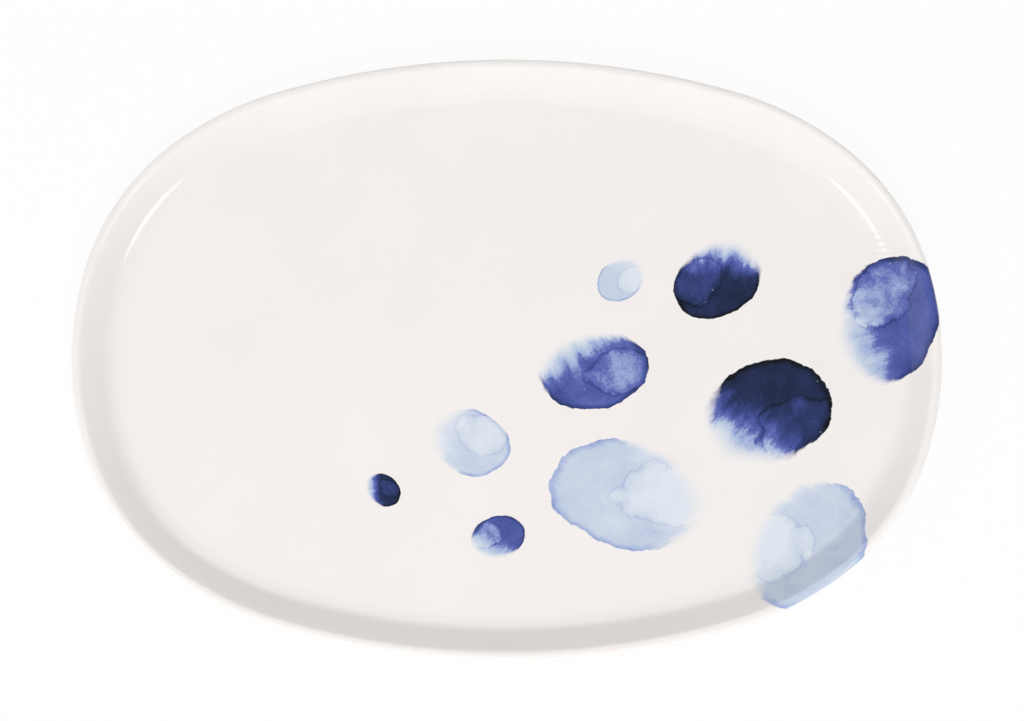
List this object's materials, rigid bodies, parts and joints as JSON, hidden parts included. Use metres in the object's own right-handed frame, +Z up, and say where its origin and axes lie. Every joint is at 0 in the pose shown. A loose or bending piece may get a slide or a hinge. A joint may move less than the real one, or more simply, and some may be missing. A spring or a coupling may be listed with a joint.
{
  "type": "oval platter",
  "caption": "Shallow oval coupe platter in glazed white china with a coved wall, round lip and foot ring, and a loose print of watercolour dabs in blue, for serving food.",
  "frame": {"origin": "middle of the platter at the plane that the foot ring stands on", "axes": "+Z up out of the well, +X along the length, +Y across the width"},
  "size_m": [0.36, 0.2486, 0.0211],
  "materials": {
    "china": "fired, unglazed, matte",
    "glaze": "clear gloss glaze over white china",
    "navy_print": "fired print, gloss",
    "indigo_print": "fired print, gloss",
    "pale_print": "fired print, gloss"
  },
  "bodies": {
    "root": {"china_body": "china", "outer_glaze": "glaze", "base_glaze": "glaze", "rim_indigo_dab": "indigo_print", "rim_pale_dab": "pale_print", "large_navy_dab": "navy_print", "large_pale_dab": "pale_print", "middle_navy_dab": "navy_print", "middle_indigo_dab": "indigo_print", "middle_pale_dab": "pale_print", "small_indigo_dab": "indigo_print", "small_pale_dab": "pale_print", "small_navy_dab": "navy_print"}
  },
  "joints": []
}
